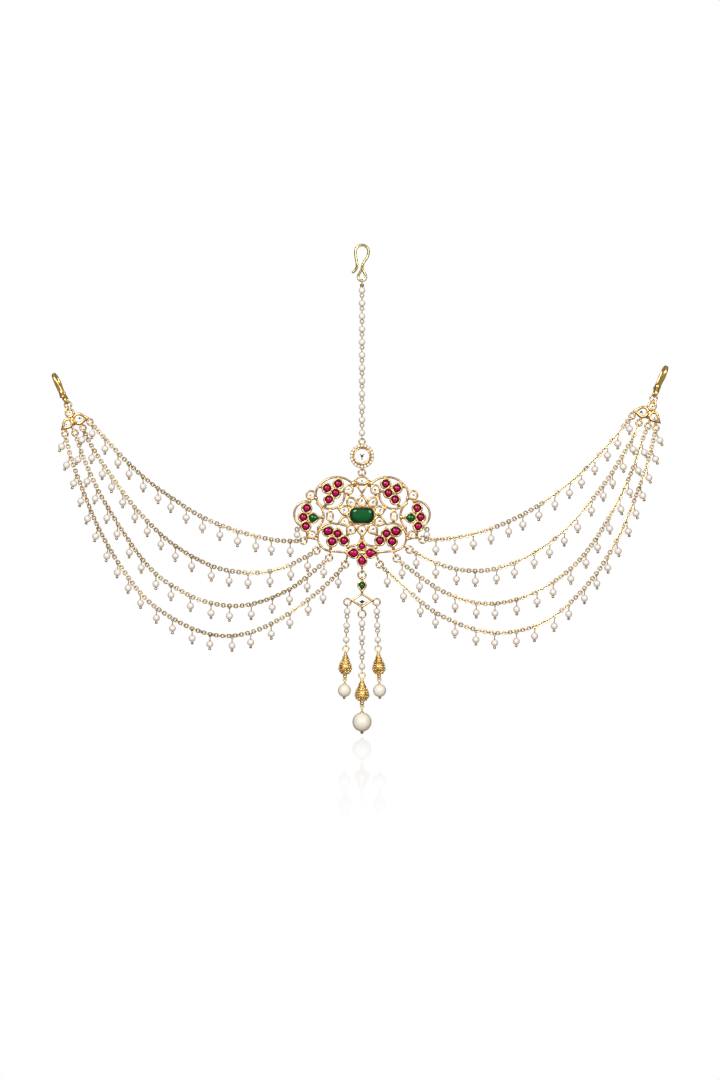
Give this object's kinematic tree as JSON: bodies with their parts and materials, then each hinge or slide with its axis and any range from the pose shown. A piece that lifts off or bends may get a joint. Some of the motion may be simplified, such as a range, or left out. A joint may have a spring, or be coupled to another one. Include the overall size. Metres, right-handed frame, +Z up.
{
  "type": "head ornament",
  "caption": "Hanging head ornament: a pearl parting chain, a pierced stone-set pendant with a swinging drop, and pearl-hung side chains that end in small plates and hooks.",
  "frame": {"origin": "inner crown of the parting hook's bend, on the middle of the piece's width and depth", "axes": "+Z up along the parting chain, +X to the viewer's right along the width, -Y towards the viewer, out of the stones' fronts"},
  "size_m": [0.3074, 0.0104, 0.2448],
  "materials": {
    "gold": "warm yellow gold plating, hammered and soldered, satin with bright edges",
    "gold_wire": "polished round gold wire",
    "gold_chain": "pale gold cable chain",
    "gold_granules": "gold covered in fine granules and twisted wire, dark in its hollows",
    "ruby": "polished crimson cabochon over foil",
    "green_stone": "polished deep green stone",
    "clear_stone": "flat uncut clear stone over bright foil",
    "pearl": "creamy pearl lustre on a gold eye pin"
  },
  "bodies": {
    "ornament": {"parting_hook": "gold_wire", "left_hook": "gold_wire", "right_hook": "gold_wire", "left_hook_ring": "gold_wire", "right_hook_ring": "gold_wire", "parting_pearls": "pearl", "connector_frame": "gold", "connector_stone": "clear_stone", "connector_ring": "gold_wire", "pendant_frame": "gold", "centre_stone": "green_stone", "crown_stone": "clear_stone", "petal_stones": "clear_stone", "green_pears": "green_stone", "rubies_upper_left": "ruby", "rubies_upper_right": "ruby", "rubies_left": "ruby", "rubies_right": "ruby", "rubies_lower_left": "ruby", "rubies_lower_right": "ruby", "rubies_flower": "ruby", "polki_left": "clear_stone", "polki_right": "clear_stone", "side_pearls": "pearl", "pendant_rings_left": "gold_wire", "pendant_rings_right": "gold_wire", "chain_left_1": "gold_chain", "chain_left_2": "gold_chain", "chain_left_3": "gold_chain", "chain_left_4": "gold_chain", "chain_right_1": "gold_chain", "chain_right_2": "gold_chain", "chain_right_3": "gold_chain", "chain_right_4": "gold_chain", "pearls_left_1": "pearl", "pearls_left_2": "pearl", "pearls_left_3": "pearl", "pearls_left_4": "pearl", "pearls_right_1": "pearl", "pearls_right_2": "pearl", "pearls_right_3": "pearl", "pearls_right_4": "pearl", "left_plate": "gold", "right_plate": "gold", "left_plate_stones": "clear_stone", "right_plate_stones": "clear_stone"},
    "ring": {"drop_ring": "gold_wire"},
    "drop": {"drop_frame": "gold", "drop_pear": "green_stone", "drop_navette": "clear_stone", "string_left": "pearl", "string_centre": "pearl", "string_right": "pearl", "filigree_left": "gold_granules", "filigree_centre": "gold_granules", "filigree_right": "gold_granules", "end_pearl_left": "pearl", "end_pearl_centre": "pearl", "end_pearl_right": "pearl"}
  },
  "joints": [
    {"name": "ring_swing", "type": "hinge", "parent": "ornament", "child": "ring", "pos_m": [0, 0, -0.1627], "axis": [1, 0, 0], "range_deg": [-60, 60]},
    {"name": "drop_sway", "type": "hinge", "parent": "ring", "child": "drop", "pos_m": [0, 0, -0.1645], "axis": [0, 1, 0], "range_deg": [-15, 15]}
  ]
}
